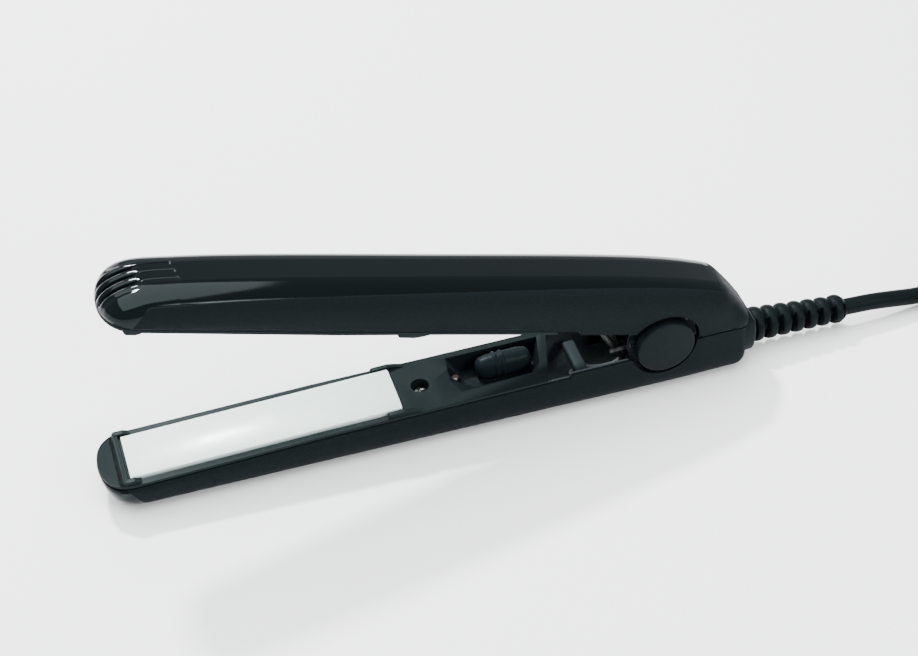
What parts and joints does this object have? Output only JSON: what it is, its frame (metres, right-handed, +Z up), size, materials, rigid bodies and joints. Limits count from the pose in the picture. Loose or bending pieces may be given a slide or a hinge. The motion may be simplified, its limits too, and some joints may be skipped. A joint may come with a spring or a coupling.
{
  "type": "flat iron",
  "caption": "Slim mini hair straightener, sprung open at its rear hinge, with pale ceramic plates, a slide switch and a power cord.",
  "frame": {"origin": "middle of the flat resting land under the lower arm, on the surface that the iron lies on", "axes": "+Z up; +X along the iron from its tip towards the hinge and cord; +Y across it"},
  "size_m": [0.3304, 0.0436, 0.0683],
  "materials": {
    "casing": "polished black crown and nose over spark-grained matt sides",
    "cover": "fine satin",
    "ceramic": "pale ceramic coating, satin",
    "heat_proof": "matt",
    "heater_film": "smooth film",
    "steel": "drawn",
    "screw_steel": "blackened",
    "satin_black": "satin",
    "knob": "satin with a soft sheen",
    "board": "varnished",
    "lens": "dark smoked",
    "lead": "glass-fibre sleeve",
    "cord_rubber": "smooth satin",
    "strap": "woven",
    "brass": "nickel-pale, smooth"
  },
  "bodies": {
    "lower_arm": {"lower_shell": "casing", "lower_inner_cover": "cover", "lower_plate": "ceramic", "lower_plate_carrier": "heat_proof", "lower_heater": "heater_film", "lower_heater_clip": "steel", "lower_cover_screw": "screw_steel", "lower_heel_block": "satin_black", "hinge_pin": "steel", "hinge_cap_near": "casing", "hinge_cap_far": "casing", "torsion_spring": "steel", "slide_switch_body": "satin_black", "circuit_board": "board", "thermal_fuse": "steel", "indicator_lens": "lens", "cord_clamp": "satin_black", "heater_lead_a": "lead", "heater_lead_b": "lead", "strain_relief": "cord_rubber", "power_cord": "cord_rubber", "cord_hank": "cord_rubber", "cord_tie": "strap", "cord_tail": "cord_rubber", "plug_body": "cord_rubber", "plug_blade_a": "brass", "plug_blade_b": "brass"},
    "upper_arm": {"upper_shell": "casing", "upper_inner_cover": "cover", "upper_plate": "ceramic", "upper_plate_carrier": "heat_proof", "upper_heater": "heater_film", "upper_heater_clip": "steel", "upper_cover_screw": "screw_steel", "upper_heel_block": "satin_black", "upper_hinge_block": "satin_black"},
    "switch_slider": {"switch_knob": "knob"}
  },
  "joints": [
    {"name": "arm_hinge", "type": "hinge", "parent": "lower_arm", "child": "upper_arm", "pos_m": [0.06, 0, 0.01711], "axis": [0, -1, 0], "range_deg": [0, 19.1], "stiffness_Nm_per_rad": 0.6, "springref_deg": -28.65, "deforming": ["torsion_spring", "heater_lead_a", "heater_lead_b"]},
    {"name": "switch_slide", "type": "slide", "parent": "lower_arm", "child": "switch_slider", "axis": [-0.9992, 0, -0.039], "range_m": [0, 0.003]}
  ]
}
